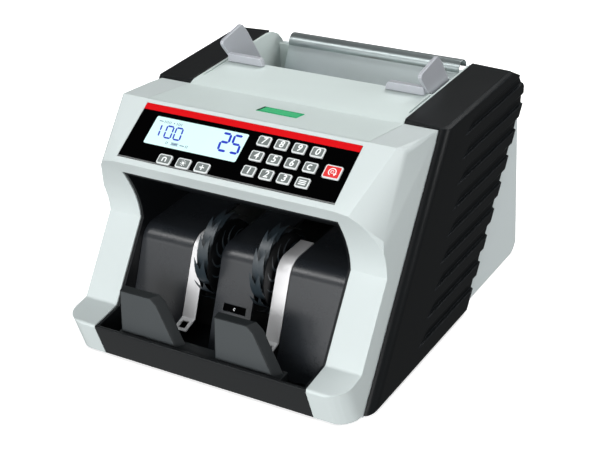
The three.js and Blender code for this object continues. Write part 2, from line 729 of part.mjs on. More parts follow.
function sidePlate(side) {
  const outline = [[42, 8], [296, 8], [296, 160], [168, 176], [118, 150], [88, 112], [42, 50]];
  const holes = [
    circle(WHEEL.y, WHEEL.z, SHAFT + GAP, 20),
    circle(FEED.y, FEED.z, SHAFT + GAP, 20),
    circle(PICKUP.y, PICKUP.z, 3.8, 20),
    circle(MOTOR.y, MOTOR.z, SHAFT, 20),
  ];
  return alongX(outline, side * SIDE_PLATE[0], side * SIDE_PLATE[1], holes);
}

function mainBoard() {
  const board = block(-80, 30, 296, 297.6, 12, 110);
  const transformer = block(-70, -30, 264, 297, 16, 50);
  const heatSink = block(-15, 15, 286, 297, 70, 95);
  const chips = [[-60, 80], [-35, 85], [-60, 60]].map(([x, z]) => block(x, x + 14, 294, 297, z, z + 10));
  const capacitors = [[0, 35], [15, 35]].map(([x, z]) => block(x, x + 9, 280, 297, z, z + 9));
  return join(board, transformer, heatSink, ...chips, ...capacitors);
}

function powerInlet() {
  const { x0, x1, z0, z1 } = INLET;
  const middle = (x0 + x1) / 2;
  const flange = block(x0 - 2, x1 + 2, BACK + GAP, BACK + 1.6, z0 - 2, z1 + 2);
  const shell = block(x0 + GAP, x1 - GAP, 298, BACK + 1, z0 + GAP, z1 - GAP);
  const socket = alongY([
    [x0 + 2, z0 + 3], [x1 - 2, z0 + 3], [x1 - 2, z1 - 7], [x1 - 6, z1 - 3], [x0 + 6, z1 - 3], [x0 + 2, z1 - 7],
  ], 303, 325);
  const pins = [[-7, -2], [0, 2.5], [7, -2]].map(([dx, dz]) =>
    block(middle + dx - 1, middle + dx + 1, 302, 314, 25.5 + dz, 29 + dz));
  return join(cut(join(flange, shell), socket), ...pins);
}

// The rocker lies over to its lower side, which is on.
function rockerSwitch() {
  const pivot = new THREE.Vector2(314, SWITCH.z);
  const tilt = THREE.MathUtils.degToRad(8);
  const profile = [[-6, -6], [2.4, -8.4], [4.6, 0], [2.4, 8.4], [-6, 6]];
  const tilted = profile.map(([out, up]) =>
    new THREE.Vector2(out, up).rotateAround(new THREE.Vector2(), tilt).add(pivot).toArray());
  return alongX(tilted, SWITCH.x - SWITCH.half, SWITCH.x + SWITCH.half);
}

function gapScrew() {
  const head = alongZ(circle(0, GAP_SCREW_Y, 5.2, 20), 172.4, 175.4);
  const shank = alongZ(circle(0, GAP_SCREW_Y, 2.3, 16), 150, 173);
  return cut(join(head, shank), block(-6, 6, GAP_SCREW_Y - 0.6, GAP_SCREW_Y + 0.6, 174.2, 177));
}

add('side_plate_left', sidePlate(-1), ...GALVANISED);
add('side_plate_right', sidePlate(1), ...GALVANISED);
add('main_board', mainBoard(), 0x1f6b3a, 0.6);
add('power_inlet', powerInlet(), ...BLACK);
add('power_switch', rockerSwitch(), ...BLACK);
add('gap_screw', gapScrew(), ...STEEL);

// ---------------------------------------------------------------- note guides

function noteGuide(side) {
  const fin = rounded([
    [214.4, 192.1], [199, 213, 3], [233, 218.8, 4], [240, 210, 4], [259, 178], [262, 157, 2], [231.5, 157, 2], [218.2, 192.1],
  ], 3);
  const lip = rounded([[61, 192.1], [63, 199, 3], [97, 199], [97, 192.1]], 3).map(([x, z]) => [side * x, z]);
  return join(alongX(fin, side * 96, side * 99), alongY(lip, 208.8, 213.4));
}

add('note_guide_left', noteGuide(-1), 0xaaaab4, 0.4);
add('note_guide_right', noteGuide(1), 0xaaaab4, 0.4);

// ---------------------------------------------------------------- origin

machine.updateMatrixWorld(true);
const extent = new THREE.Box3().setFromObject(machine);
machine.position.y = -(extent.min.y + extent.max.y) / 2;

export default machine;
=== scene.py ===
"""Looks of the desktop banknote counting machine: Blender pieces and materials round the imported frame.

Metres, +X to the operator's right, +Y to the back, +Z up. Sizes written as numbers are millimetres
times MM; places come from the frame's nodes, joints and record.
"""

import json
import math

import bmesh
import bpy
from mathutils import Matrix, Vector


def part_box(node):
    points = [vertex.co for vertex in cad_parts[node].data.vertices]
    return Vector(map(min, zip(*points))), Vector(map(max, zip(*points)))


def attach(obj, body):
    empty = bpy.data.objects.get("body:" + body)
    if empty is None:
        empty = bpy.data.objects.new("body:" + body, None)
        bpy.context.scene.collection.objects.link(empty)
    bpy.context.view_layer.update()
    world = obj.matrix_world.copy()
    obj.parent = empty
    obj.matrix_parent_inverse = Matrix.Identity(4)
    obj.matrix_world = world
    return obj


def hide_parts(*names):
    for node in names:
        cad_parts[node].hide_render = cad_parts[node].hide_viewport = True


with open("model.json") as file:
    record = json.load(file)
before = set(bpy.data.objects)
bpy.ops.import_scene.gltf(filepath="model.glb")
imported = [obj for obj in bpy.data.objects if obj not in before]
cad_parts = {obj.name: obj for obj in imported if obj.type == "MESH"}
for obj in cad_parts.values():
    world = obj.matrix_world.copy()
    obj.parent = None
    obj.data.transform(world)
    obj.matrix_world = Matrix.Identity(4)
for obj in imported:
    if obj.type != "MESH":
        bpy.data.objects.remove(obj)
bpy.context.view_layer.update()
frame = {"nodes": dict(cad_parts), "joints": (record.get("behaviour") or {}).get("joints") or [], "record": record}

MM = 0.001
NODES = frame["nodes"]
JOINTS = {joint["name"]: joint for joint in frame["joints"]}
BODY_OF = {node: body for body, nodes in frame["record"]["behaviour"]["bodies"].items() for node in nodes}


# ---------------------------------------------------------------- materials


class Nodes:
    """A short way to write a node tree."""

    def __init__(self, name):
        self.material = bpy.data.materials.new(name)
        self.material.use_nodes = True
        self.tree = self.material.node_tree
        self.shader = self.tree.nodes["Principled BSDF"]

    def add(self, kind, settings=None, **inputs):
        node = self.tree.nodes.new("ShaderNode" + kind)
        for key, value in (settings or {}).items():
            setattr(node, key, value)
        for key, value in inputs.items():
            self.set(node, key.replace("_", " "), value)
        return node

    def set(self, node, key, value):
        socket = node.inputs[key]
        if isinstance(value, bpy.types.NodeSocket):
            self.tree.links.new(value, socket)
        else:
            socket.default_value = value

    def mix(self, fraction, a, b, blend="MIX"):
        node = self.add("Mix", {"data_type": "RGBA", "blend_type": blend})
        colours = [socket for socket in node.inputs if socket.type == "RGBA"]
        self.set(node, 0, fraction)
        for socket, value in zip(colours, (a, b)):
            if isinstance(value, bpy.types.NodeSocket):
                self.tree.links.new(value, socket)
            else:
                socket.default_value = rgba(value)
        return next(socket for socket in node.outputs if socket.type == "RGBA")

    def spread(self, value, low, high):
        node = self.add("MapRange", Value=value)
        self.set(node, "To Min", low)
        self.set(node, "To Max", high)
        return node.outputs["Result"]

    def millimetres(self, stretch=(1, 1, 1)):
        """Object coordinates in millimetres, stretched to draw grain out along an axis."""
        coordinates = self.add("TexCoord").outputs["Object"]
        scale = [1 / MM / factor for factor in stretch]
        return self.add("Mapping", Vector=coordinates, Scale=scale).outputs["Vector"]

    def noise(self, vector, size, detail=3):
        return self.add("TexNoise", Vector=vector, Scale=1 / size, Detail=detail).outputs["Fac"]


def rgba(colour):
    return (*colour, 1) if len(colour) == 3 else tuple(colour)


def scaled(colour, factor):
    return tuple(min(1, channel * factor) for channel in colour[:3])


def surface(name, base, rough, metallic=0.0, coat=0.0, specular=0.5, patch=0.04, grain=0.6, relief=0.004,
            stretch=(1, 1, 1), edge=0.6, edge_highlight=1.25, glow=0.0):
    """A hard moulded, painted or metal surface: patchy colour, fine grain, and a painted highlight along its
    edges, broken up by noise.

    patch is how far the colour drifts, grain the size of the surface's texture in millimetres, relief its
    depth, edge the radius of the softened edges, and the factor after it how much lighter the painted edge
    highlight is.
    """
    nodes = Nodes(name)
    place = nodes.millimetres()
    drift = nodes.noise(place, 38, 4)
    fine = nodes.noise(nodes.millimetres(stretch), grain, 5)
    body = nodes.mix(drift, scaled(base, 1 - patch), scaled(base, 1 + patch))
    speck = nodes.mix(nodes.spread(fine, 0.0, 0.5), body, scaled(base, 1 + 2.5 * patch))

    soft = nodes.add("Bevel", {"samples": 4}, Radius=edge * MM)
    flat = nodes.add("NewGeometry").outputs["Normal"]
    facing = nodes.add("VectorMath", {"operation": "DOT_PRODUCT"})
    nodes.set(facing, 0, soft.outputs["Normal"])
    nodes.set(facing, 1, flat)
    rim = nodes.add("MapRange", Value=facing.outputs["Value"])
    for key, value in (("From Min", 0.995), ("From Max", 0.86), ("To Min", 0.0), ("To Max", 1.0)):
        nodes.set(rim, key, value)
    # painted highlight: the colour is lightened where the bevelled normal leaves the flat one, along the edges, in
    # noisy patches
    highlight_mask = nodes.add("Math", {"operation": "MULTIPLY"})
    nodes.set(highlight_mask, 0, rim.outputs["Result"])
    nodes.set(highlight_mask, 1, nodes.spread(nodes.noise(place, 4, 2), 0.35, 1.0))
    colour = nodes.mix(highlight_mask.outputs["Value"], speck, scaled(base, edge_highlight))

    smudge = nodes.spread(nodes.noise(place, 22, 3), rough * 0.9, min(1, rough * 1.12))
    gloss = nodes.add("Math", {"operation": "ADD"})
    nodes.set(gloss, 0, smudge)
    nodes.set(gloss, 1, nodes.spread(fine, -0.03, 0.03))

    bump = nodes.add("Bump", Strength=0.35, Distance=relief * MM, Height=fine)
    nodes.set(bump, "Normal", soft.outputs["Normal"])

    shader = nodes.shader
    nodes.set(shader, "Base Color", colour)
    nodes.set(shader, "Roughness", gloss.outputs["Value"])
    nodes.set(shader, "Normal", bump.outputs["Normal"])
    shader.inputs["Metallic"].default_value = metallic
    shader.inputs["Coat Weight"].default_value = coat
    shader.inputs["Coat Roughness"].default_value = 0.12
    shader.inputs["Specular IOR Level"].default_value = specular
    if glow:
        nodes.set(shader, "Emission Color", colour)
        shader.inputs["Emission Strength"].default_value = glow
    return nodes.material


def brushed(name, base, rough, along, metallic=1.0):
    """Metal brushed along one axis: long streaks in the colour, the gloss and the relief."""
    stretch = [60 if axis == along else 1 for axis in "xyz"]
    return surface(name, base, rough, metallic=metallic, patch=0.07, grain=0.35, relief=0.006,
                   stretch=stretch, edge=0.4, edge_highlight=1.15)


def backlit(name, base, strength):
    """The display's film: a fine dot raster over a light that is a little uneven."""
    nodes = Nodes(name)
    place = nodes.millimetres()
    lamp = nodes.mix(nodes.noise(place, 45, 2), scaled(base, 0.93), scaled(base, 1.04))
    raster = nodes.add("TexChecker", Vector=place, Scale=1.7).outputs["Fac"]
    colour = nodes.mix(nodes.spread(raster, 0.0, 0.05), lamp, scaled(base, 0.6))
    nodes.set(nodes.shader, "Base Color", colour)
    nodes.set(nodes.shader, "Emission Color", colour)
    nodes.shader.inputs["Emission Strength"].default_value = strength
    nodes.shader.inputs["Roughness"].default_value = 0.25
    return nodes.material


def moulded_rubber(name, base):
    return surface(name, base, 0.8, patch=0.15, grain=0.25, relief=0.03, edge=0.5, edge_highlight=1.5,
                   specular=0.3)


# The factor that lightens each material's edges paints a highlight there: black_cover's paints light lines along
# its rib edges, guide's near-white rims.
MATERIALS = {
    "silver": surface("silver_paint", (0.545, 0.60, 0.598), 0.4, coat=0.1, specular=0.35, patch=0.012,
                      grain=0.18, relief=0.003, edge=1.1, edge_highlight=1.12),
    "pale": surface("pale_paint", (0.575, 0.65, 0.635), 0.42, coat=0.1, patch=0.015, grain=0.2,
                    relief=0.004, edge=0.9, edge_highlight=1.2),
    "rear": surface("rear_paint", (0.64, 0.70, 0.705), 0.42, coat=0.1, patch=0.015, grain=0.2,
                    relief=0.004, edge=0.9, edge_highlight=1.12),
    "black_cover": surface("black_cover_plastic", (0.0036, 0.0044, 0.005), 0.32, patch=0.12, grain=0.4,
                           relief=0.012, edge=0.9, edge_highlight=9.0, specular=0.19),
    "tray": surface("tray_plastic", (0.0055, 0.0065, 0.0075), 0.32, patch=0.1, grain=0.4, relief=0.01,
                    edge=0.7, edge_highlight=2.0, specular=0.35),
    "bed": surface("bed_plastic", (0.014, 0.0165, 0.020), 0.28, patch=0.06, grain=0.35, relief=0.008,
                   edge=0.5, edge_highlight=1.8, specular=0.75),
    # A lighter copy of the stop's plastic for the plates over its front faces: painted light.
    "fin_lit_face": surface("fin_plastic_painted_light", (0.044, 0.050, 0.053), 0.42, patch=0.06, grain=0.35, relief=0.01,
                   edge=0.6, edge_highlight=1.7),
    "fascia": surface("fascia_film", (0.0005, 0.0005, 0.0006), 0.25, patch=0.2, grain=0.5, relief=0.002,
                      edge=0.3, edge_highlight=3.0, specular=0.012),
    "stripe": surface("stripe_print", (0.56, 0.003, 0.006), 0.4, patch=0.03, grain=0.3, relief=0.002,
                      edge=0.1, specular=0.12),
    "trim": brushed("fascia_trim_metal", (0.36, 0.37, 0.37), 0.4, "x"),
    "screen": backlit("screen_film", (0.46, 0.66, 0.64), 0.5),
    "segment": surface("segment_ink", (0.016, 0.035, 0.40), 0.5, patch=0.1, grain=0.4, relief=0.001,
                       edge=0.05, specular=0.1, glow=0.1),
    "icon": surface("icon_ink", (0.10, 0.16, 0.26), 0.5, patch=0.1, grain=0.4, relief=0.001, edge=0.05,
                    specular=0.1),
    "key_border": surface("key_border_print", (0.66, 0.69, 0.69), 0.4, patch=0.03, grain=0.3, relief=0.003,
                          edge=0.25, edge_highlight=1.1, specular=0.2),
    "key_face": surface("key_face_plastic", (0.14, 0.16, 0.155), 0.42, patch=0.08, grain=0.3, relief=0.01,
                        edge=0.2, edge_highlight=1.3, specular=0.25),
    "key_glyph": surface("key_glyph_print", (0.82, 0.85, 0.85), 0.45, patch=0.03, grain=0.25, relief=0.002,
                         edge=0.05),
    "reset_face": surface("reset_face_plastic", (0.62, 0.03, 0.03), 0.36, patch=0.06, grain=0.3,
                          relief=0.006, edge=0.2, edge_highlight=1.25, specular=0.2),
    "badge": surface("badge_enamel", (0.03, 0.40, 0.17), 0.22, coat=0.5, patch=0.25, grain=1.2, relief=0.004,
                     edge=0.5, edge_highlight=1.7),
    # Darker and lighter copies of the badge enamel: painted shade for the left edge of its recess, painted
    # highlight for its inlay.
    "badge_painted_shade": surface("badge_enamel_painted_shade", (0.008, 0.10, 0.045), 0.25, coat=0.4, patch=0.2, grain=1.0,
                          relief=0.004, edge=0.3, edge_highlight=1.6),
    "badge_painted_highlight": surface("badge_enamel_painted_highlight", (0.05, 0.50, 0.20), 0.22, coat=0.5, patch=0.2, grain=1.0,
                           relief=0.004, edge=0.4, edge_highlight=1.4),
    "plate": brushed("brushed_back_plate", (0.40, 0.45, 0.455), 0.33, "z"),
    "strip": brushed("satin_strip", (0.72, 0.72, 0.73), 0.42, "z", metallic=0.45),
    "steel": brushed("ground_steel", (0.56, 0.57, 0.58), 0.3, "x"),
    "galvanised": surface("galvanised_sheet", (0.42, 0.44, 0.45), 0.45, metallic=1.0, patch=0.18, grain=6,
                          relief=0.01, edge=0.3, edge_highlight=1.2),
    "fan": surface("fan_plastic", (0.017, 0.026, 0.033), 0.36, patch=0.15, grain=0.5, relief=0.006,
                   edge=0.3, edge_highlight=2.4, specular=0.9),
    # The webs take a far darker, duller copy of the fan plastic: painted shade between the blades.
    "fan_web_painted_shade": surface("fan_web_plastic_painted_shade", (0.002, 0.0024, 0.003), 0.5, patch=0.1, grain=0.5, relief=0.006,
                       edge=0.3, edge_highlight=3.0, specular=0.15),
    "pulley": surface("pulley_plastic", (0.58, 0.55, 0.47), 0.5, patch=0.04, grain=0.4, relief=0.01),
    "feed_rubber": moulded_rubber("feed_rubber", (0.24, 0.085, 0.04)),
    "pan": surface("pan_paint", (0.022, 0.023, 0.024), 0.5, patch=0.1, grain=0.5, relief=0.01, edge=0.3,
                   edge_highlight=2.0),
    # A darker copy of the stop's plastic for its body, sides and tops: painted shade.
    "fin_shaded_body": surface("fin_plastic_painted_shade", (0.009, 0.011, 0.012), 0.42, patch=0.08, grain=0.35, relief=0.01,
                        edge=0.5, edge_highlight=2.6, specular=0.3),
    "black_rubber": moulded_rubber("black_rubber", (0.018, 0.018, 0.018)),
    "motor": surface("motor_paint", (0.16, 0.17, 0.18), 0.4, metallic=0.7, patch=0.1, grain=0.5, relief=0.01),
    "board": surface("board_lacquer", (0.02, 0.13, 0.05), 0.35, coat=0.4, patch=0.2, grain=1.5, relief=0.02,
                     edge=0.2),
    "fitting": surface("fitting_plastic", (0.012, 0.012, 0.013), 0.4, patch=0.1, grain=0.4, relief=0.012,
                       edge=0.5, edge_highlight=1.8),
    "guide": surface("guide_plastic", (0.36, 0.375, 0.405), 0.36, coat=0.15, patch=0.04, grain=0.35,
                     relief=0.006, edge=1.4, edge_highlight=2.1),
    "brass": surface("contact_brass", (0.72, 0.55, 0.24), 0.25, metallic=1.0, patch=0.08, grain=0.3,
                     relief=0.004, edge=0.2),
    "mark": surface("white_mark_ink", (0.75, 0.76, 0.76), 0.5, patch=0.05, grain=0.3, relief=0.002,
                    edge=0.05),
}


# ---------------------------------------------------------------- mesh helpers


def finish_mesh(name, bm, material, smooth=30, bevel=0.0, segments=2):
    """Closes off a bmesh as an object: outward faces, smooth below an angle, edges above it rounded."""
    bmesh.ops.remove_doubles(bm, verts=bm.verts, dist=2e-6)
    bmesh.ops.recalc_face_normals(bm, faces=bm.faces)
    limit = math.radians(smooth)
    if bevel:
        corners = [edge for edge in bm.edges if edge.is_manifold and edge.calc_face_angle() > limit]
        bmesh.ops.bevel(bm, geom=corners, offset=bevel, segments=segments, profile=0.5, affect="EDGES",
                        clamp_overlap=True)
    for face in bm.faces:
        face.smooth = True
    for edge in bm.edges:
        edge.smooth = edge.is_manifold and edge.calc_face_angle() < limit
    mesh = bpy.data.meshes.new(name)
    bm.to_mesh(mesh)
    bm.free()
    mesh.materials.append(MATERIALS[material])
    piece = bpy.data.objects.new(name, mesh)
    bpy.context.scene.collection.objects.link(piece)
    weighted = piece.modifiers.new("even shading", "WEIGHTED_NORMAL")
    weighted.keep_sharp = True
    return piece


def settle(piece, node, replaces=True):
    """The piece rides with a CAD node's body; by default it stands for the node too."""
    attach(piece, BODY_OF[node])
    if replaces:
        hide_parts(node)
    return piece


def refined(node, material, smooth=32, bevel=0.0):
    """A copy of a CAD solid with its flat facets merged, its curves shaded smooth and its edges eased."""
    bm = bmesh.new()
    bm.from_mesh(NODES[node].data)
    bmesh.ops.remove_doubles(bm, verts=bm.verts, dist=2e-6)
    if bevel:
        bmesh.ops.dissolve_limit(bm, angle_limit=math.radians(0.8), verts=bm.verts, edges=bm.edges)
    return settle(finish_mesh(node + "_shell", bm, material, smooth, bevel), node)


def prism(name, outline, at, low, high, material, bevel=0.0, smooth=30, segments=2):
    """A closed prism: outline points (a, b) taken to space by at(a, b, height)."""
    bm = bmesh.new()
    bottom = [bm.verts.new(at(a, b, low)) for a, b in outline]
    top = [bm.verts.new(at(a, b, high)) for a, b in outline]
    bm.faces.new(bottom)
    bm.faces.new(top)
    for index in range(len(outline)):
        after = (index + 1) % len(outline)
        bm.faces.new([bottom[index], bottom[after], top[after], top[index]])
    return finish_mesh(name, bm, material, smooth, bevel, segments)


def rounded_rectangle(a0, a1, b0, b1, radius, steps=6):
    corners = [(a1 - radius, b0 + radius, -90), (a1 - radius, b1 - radius, 0),
               (a0 + radius, b1 - radius, 90), (a0 + radius, b0 + radius, 180)]
    outline = []
    for a, b, start in corners:
        for step in range(steps + 1):
            turn = math.radians(start + 90 * step / steps)
            outline.append((a + radius * math.cos(turn), b + radius * math.sin(turn)))
    return outline


def circle(a, b, radius, count=32):
    turns = [2 * math.pi * index / count for index in range(count)]
    return [(a + radius * math.cos(turn), b + radius * math.sin(turn)) for turn in turns]


def lathe(name, profile, centre, material, segments=64, smooth=30):
    """A closed body of revolution along X from (radius, x) points that form a closed ring."""
    bm = bmesh.new()
    rings = []
    for radius, along in profile:
        ring = []
        for index in range(segments):
            turn = 2 * math.pi * index / segments
            offset = Vector((0, radius * math.cos(turn), radius * math.sin(turn)))
            ring.append(bm.verts.new(Vector((along, centre.y, centre.z)) + offset))
        rings.append(ring)
    for ring, following in zip(rings, rings[1:] + rings[:1]):
        for index in range(segments):
            after = (index + 1) % segments
            bm.faces.new([ring[index], ring[after], following[after], following[index]])
    return finish_mesh(name, bm, material, smooth)


def sheet_outline(path, thickness):
    """A bent sheet's (y, z) outline: the path is one face and the material lies to the right of it."""
    back = []
    for index, point in enumerate(path):
        before = path[max(index - 1, 0)]
        after = path[min(index + 1, len(path) - 1)]
        along = (Vector(after) - Vector(before)).normalized()
        back.append(tuple(Vector(point) + Vector((along.y, -along.x)) * thickness))
    return list(path) + back[::-1]


def strip_sheet(name, path, thickness, x0, x1, material, bevel=0.0, smooth=30):
    """A bent sheet between two x positions, its faces split along the path so that it shades evenly."""
    front = list(path)
    back = sheet_outline(path, thickness)[len(path):][::-1]
    bm = bmesh.new()
    rows = [[[bm.verts.new((x, y, z)) for y, z in side] for side in (front, back)] for x in (x0, x1)]
    (front0, back0), (front1, back1) = rows
    for index in range(len(path) - 1):
        after = index + 1
        bm.faces.new([front0[index], front0[after], front1[after], front1[index]])
        bm.faces.new([back0[index], back0[after], back1[after], back1[index]])
        bm.faces.new([front0[index], front0[after], back0[after], back0[index]])
        bm.faces.new([front1[index], front1[after], back1[after], back1[index]])
    for index in (0, len(path) - 1):
        bm.faces.new([front0[index], back0[index], back1[index], front1[index]])
    return finish_mesh(name, bm, material, smooth, bevel)


# ---------------------------------------------------------------- shells

for node, material, smooth in (
    ("front_frame", "silver", 17),
    ("top_cover", "pale", 30),
    ("rear_cover", "rear", 40),
    ("side_cover_left", "black_cover", 26),
    ("side_cover_right", "black_cover", 26),
    ("stacker_tray", "tray", 30),
    ("stacker_stop", "fin_shaded_body", 20),
    ("upper_guide_plate", "tray", 35),
    ("note_guide_left", "guide", 32),
    ("note_guide_right", "guide", 32),
):
    refined(node, material, smooth)


# ---------------------------------------------------------------- control panel

PANEL_TILT = math.radians(31)
UP_SLOPE = Vector((0, math.cos(PANEL_TILT), math.sin(PANEL_TILT)))
OUTWARD = Vector((0, -math.sin(PANEL_TILT), math.cos(PANEL_TILT)))


def span(node, direction, keep=lambda point: True):
    """The lowest and highest reach of a CAD node along a direction."""
    reaches = [v.co.dot(direction) for v in NODES[node].data.vertices if keep(v.co)]
    return min(reaches), max(reaches)


PANEL_FOOT = span("control_panel", UP_SLOPE)[0]
PANEL_FACE = span("control_panel", OUTWARD)[1]
PANEL_X = span("control_panel", Vector((1, 0, 0)))
PANEL_LENGTH = span("control_panel", UP_SLOPE)[1] - PANEL_FOOT


def on_panel(x, s, height):
    """A point of the control panel: x across, s up its slope from the foot, height out of its face."""
    return Vector((x, 0, 0)) + UP_SLOPE * (PANEL_FOOT + s) + OUTWARD * (PANEL_FACE + height)


def panel_rectangle(node, keep=lambda point: True):
    low, high = span(node, Vector((1, 0, 0)), keep)
    foot, top = span(node, UP_SLOPE, keep)
    return low, high, foot - PANEL_FOOT, top - PANEL_FOOT


def rectangle(a0, a1, b0, b1):
    return [(a0, b0), (a1, b0), (a1, b1), (a0, b1)]


STRIPE_FOOT = 48.3 * MM
TRIM_HEIGHT = 1.0 * MM

refined("control_panel", "fascia", 30)
settle(prism("red_stripe", rectangle(*PANEL_X, STRIPE_FOOT, PANEL_LENGTH), on_panel, 0.01 * MM, 0.16 * MM,
             "stripe", 0.05 * MM), "control_panel", replaces=False)
settle(prism("fascia_trim", rectangle(*PANEL_X, 0, TRIM_HEIGHT), on_panel, 0.01 * MM, 0.25 * MM, "trim",
             0.08 * MM), "control_panel", replaces=False)

LCD = panel_rectangle("display_module", lambda point: point.dot(OUTWARD) > PANEL_FACE - 3 * MM)
LCD_LEFT, LCD_RIGHT, LCD_FOOT, LCD_TOP = LCD
LCD_FACE = 0.14 * MM
LCD_LAP = 0.5 * MM
screen_outline = rounded_rectangle(LCD_LEFT - LCD_LAP, LCD_RIGHT + LCD_LAP, LCD_FOOT - LCD_LAP,
                                   LCD_TOP + LCD_LAP, 1.6 * MM)
settle(prism("display_screen", screen_outline, on_panel, 0.01 * MM, LCD_FACE, "screen", 0.05 * MM),
       "display_module", replaces=False)

SEGMENTS = {"0": "abcdef", "1": "bc", "2": "abged", "5": "afgcd"}
INK = 0.05 * MM
DIGIT_LEAN = -0.15


def segment_digit(name, digit, left, foot, width, height):
    """One seven-segment digit on the display, its bars pointed at both ends and parted by thin gaps."""
    bar, gap = 0.135 * height, 0.012 * height
    middle = height / 2
    bars = {
        "a": ((0, height), (width, height)), "d": ((0, 0), (width, 0)), "g": ((0, middle), (width, middle)),
        "f": ((0, middle), (0, height)), "b": ((width, middle), (width, height)),
        "e": ((0, 0), (0, middle)), "c": ((width, 0), (width, middle)),
    }
    for letter in SEGMENTS[digit]:
        start, end = (Vector(point) for point in bars[letter])
        along = (end - start).normalized()
        across = Vector((-along.y, along.x)) * bar / 2
        tip = along * gap
        shoulder = along * (gap + bar / 2)
        outline = [start + tip, start + shoulder - across, end - shoulder - across,
                   end - tip, end - shoulder + across, start + shoulder + across]
        points = [(left + point.x + DIGIT_LEAN * point.y, foot + point.y) for point in outline]
        piece = prism(f"{name}_{letter}", points, on_panel, LCD_FACE + 0.01 * MM, LCD_FACE + INK, "segment")
        settle(piece, "display_module", replaces=False)


COUNT_FOOT = LCD_FOOT + 8.0 * MM
COUNT_HEIGHT = 11.2 * MM
BATCH_FOOT = LCD_FOOT + 7.2 * MM
BATCH_SIZE = (7.4 * MM, 16.2 * MM)
segment_digit("count_digit_1", "1", LCD_LEFT + 3.6 * MM, COUNT_FOOT, 6.2 * MM, COUNT_HEIGHT)
segment_digit("count_digit_2", "0", LCD_LEFT + 15.4 * MM, COUNT_FOOT, 6.4 * MM, COUNT_HEIGHT)
segment_digit("count_digit_3", "0", LCD_LEFT + 24.6 * MM, COUNT_FOOT, 6.4 * MM, COUNT_HEIGHT)
segment_digit("batch_digit_1", "2", LCD_RIGHT - 20.0 * MM, BATCH_FOOT, *BATCH_SIZE)
segment_digit("batch_digit_2", "5", LCD_RIGHT - 9.0 * MM, BATCH_FOOT, *BATCH_SIZE)

ICON_BAR = 0.75 * MM
ICON_HEIGHT = 2.6 * MM


def steps_over(width, pitch):
    return [index * pitch for index in range(max(1, round(width / pitch)))]


def icon_bars(kind, width):
    """The bars of one display mark, each from its lower left to its upper right corner."""
    height = ICON_HEIGHT
    if kind == "ticks":
        return [(step, 0, step + ICON_BAR * 0.7, height) for step in steps_over(width, 1.5 * MM)]
    if kind == "dash":
        return [(0, height * 0.35, width, height * 0.65)]
    inner = (ICON_BAR, ICON_BAR, width - ICON_BAR, height - ICON_BAR)
    if width < 3 * MM:
        return [inner]
    line = ICON_BAR * 0.6
    return [(0, 0, width, line), (0, height - line, width, height), inner]


def icon_row(name, left, foot, groups):
    """A row of small generic display marks: groups of short upright and level bars."""
    place = left
    for index, (kind, width) in enumerate(groups):
        for number, (a0, b0, a1, b1) in enumerate(icon_bars(kind, width)):
            outline = rectangle(place + a0, place + a1, foot + b0, foot + b1)
            piece = prism(f"{name}_{index}_{number}", outline, on_panel, LCD_FACE + 0.01 * MM,
                          LCD_FACE + INK, "icon")
            settle(piece, "display_module", replaces=False)
        place += width + 1.3 * MM


icon_row("icon_top", LCD_LEFT + 3.6 * MM, LCD_FOOT + 21.2 * MM,
         [("dash", 4 * MM), ("ticks", 7 * MM), ("box", 2.6 * MM), ("ticks", 6 * MM)])
icon_row("icon_bottom", LCD_LEFT + 20 * MM, LCD_FOOT + 2.3 * MM,
         [("ticks", 3.6 * MM), ("box", 7.6 * MM), ("dash", 4.5 * MM), ("ticks", 3 * MM)])


# ---------------------------------------------------------------- keys

BORDER = 1.05 * MM
CAP_ROUND = 1.7 * MM


def key_cap(node):
    """The moulded cap with an eased top edge, its inner face, and where its glyph is centred."""
    x0, x1, s0, s1 = panel_rectangle(node)
    low, high = (reach - PANEL_FACE for reach in span(node, OUTWARD))
    bm = bmesh.new()
    loops = []
    edge = ((0, 0.35), (0.08, 0.14), (0.2, 0.04), (0.36, 0))
    steps = [(0, low)] + [(inset * MM, high - drop * MM) for inset, drop in edge]
    for inset, height in steps:
        outline = rounded_rectangle(x0 + inset, x1 - inset, s0 + inset, s1 - inset, CAP_ROUND - inset)
        loops.append([bm.verts.new(on_panel(a, b, height)) for a, b in outline])
    for loop, following in zip(loops, loops[1:]):
        for index in range(len(loop)):
            after = (index + 1) % len(loop)
            bm.faces.new([loop[index], loop[after], following[after], following[index]])
    bm.faces.new(loops[0])
    bm.faces.new(loops[-1])
    settle(finish_mesh(node + "_cap", bm, "key_border", 50), node)
    face = rounded_rectangle(x0 + BORDER, x1 - BORDER, s0 + BORDER, s1 - BORDER, 0.9 * MM)
    kind = "reset_face" if node == "key_reset" else "key_face"
    plate = prism(node + "_face", face, on_panel, high + 0.005 * MM, high + 0.09 * MM, kind, 0.04 * MM)
    settle(plate, node, replaces=False)
    return (x0 + x1) / 2, (s0 + s1) / 2, high + 0.09 * MM


def glyph(node, centre, character, size):
    """A printed numeral on a key."""
    x, s, height = centre
    curve = bpy.data.curves.new("numeral", "FONT")
    curve.body = character
    curve.size = size
    curve.align_x = "CENTER"
    curve.align_y = "CENTER"
    curve.extrude = INK / 2
    curve.offset = 0.02 * size
    curve.shear = 0.12
    curve.resolution_u = 3
    text = bpy.data.objects.new("numeral", curve)
    bpy.context.scene.collection.objects.link(text)
    bpy.context.view_layer.update()
    mesh = bpy.data.meshes.new_from_object(text)
    bpy.data.objects.remove(text)
    bm = bmesh.new()
    bm.from_mesh(mesh)
    for vertex in bm.verts:
        a, b, depth = vertex.co
        vertex.co = on_panel(x + a, s + b, height + depth + 0.01 * MM + INK / 2)
    settle(finish_mesh(node + "_numeral", bm, "key_glyph", 30), node, replaces=False)


